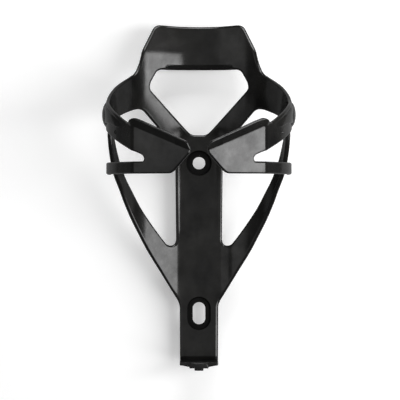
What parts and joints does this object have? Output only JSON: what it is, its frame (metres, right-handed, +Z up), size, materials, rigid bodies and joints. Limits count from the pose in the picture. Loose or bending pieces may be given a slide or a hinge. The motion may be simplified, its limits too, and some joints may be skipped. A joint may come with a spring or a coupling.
{
  "type": "water bottle cage",
  "caption": "Moulded bicycle bottle cage with a spine, a windowed head, curved legs and two wing-shaped side grips that spring round the bottle.",
  "frame": {"origin": "on the rear seat face of the spine, on the centre line, midway between the two bolt holes", "axes": "+Z up along the spine, +Y out of the rear seat towards the bicycle tube, +X to the right seen from the front"},
  "size_m": [0.0788, 0.0793, 0.146],
  "materials": {
    "frame_nylon": "satin black, faint flow marks",
    "grip_nylon": "satin black"
  },
  "bodies": {
    "back_frame": {"spine": "frame_nylon", "head_panel": "frame_nylon", "head_lip": "frame_nylon", "foot_shelf": "frame_nylon", "foot_boss": "frame_nylon", "foot_tab": "frame_nylon", "left_arm": "frame_nylon", "right_arm": "frame_nylon", "left_gusset": "frame_nylon", "right_gusset": "frame_nylon"},
    "left_grip": {"left_band": "grip_nylon", "left_knuckle": "grip_nylon", "left_wing": "grip_nylon", "left_wing_lip": "grip_nylon", "left_strap": "grip_nylon"},
    "left_leg_blade": {"left_leg": "frame_nylon"},
    "right_grip": {"right_band": "grip_nylon", "right_knuckle": "grip_nylon", "right_wing": "grip_nylon", "right_wing_lip": "grip_nylon", "right_strap": "grip_nylon"},
    "right_leg_blade": {"right_leg": "frame_nylon"}
  },
  "joints": [
    {"name": "left_grip_flex", "type": "hinge", "parent": "back_frame", "child": "left_grip", "pos_m": [-0.028, -0.015, 0.0615], "axis": [0, 0, -1], "range_deg": [0, 4], "stiffness_Nm_per_rad": 0.5},
    {"name": "left_leg_flex", "type": "hinge", "parent": "back_frame", "child": "left_leg_blade", "pos_m": [-0.0179, -0.0066, -0.0033], "axis": [0, -1, 0], "range_deg": [0, 1.2], "stiffness_Nm_per_rad": 0.05},
    {"name": "right_grip_flex", "type": "hinge", "parent": "back_frame", "child": "right_grip", "pos_m": [0.028, -0.015, 0.0615], "axis": [0, 0, 1], "range_deg": [0, 4], "stiffness_Nm_per_rad": 0.5},
    {"name": "right_leg_flex", "type": "hinge", "parent": "back_frame", "child": "right_leg_blade", "pos_m": [0.0179, -0.0066, -0.0033], "axis": [0, 1, 0], "range_deg": [0, 1.2], "stiffness_Nm_per_rad": 0.05}
  ],
  "couplings": [
    {"joint": "left_leg_flex", "follows": "left_grip_flex", "ratio": 0.3},
    {"joint": "right_leg_flex", "follows": "right_grip_flex", "ratio": 0.3}
  ]
}
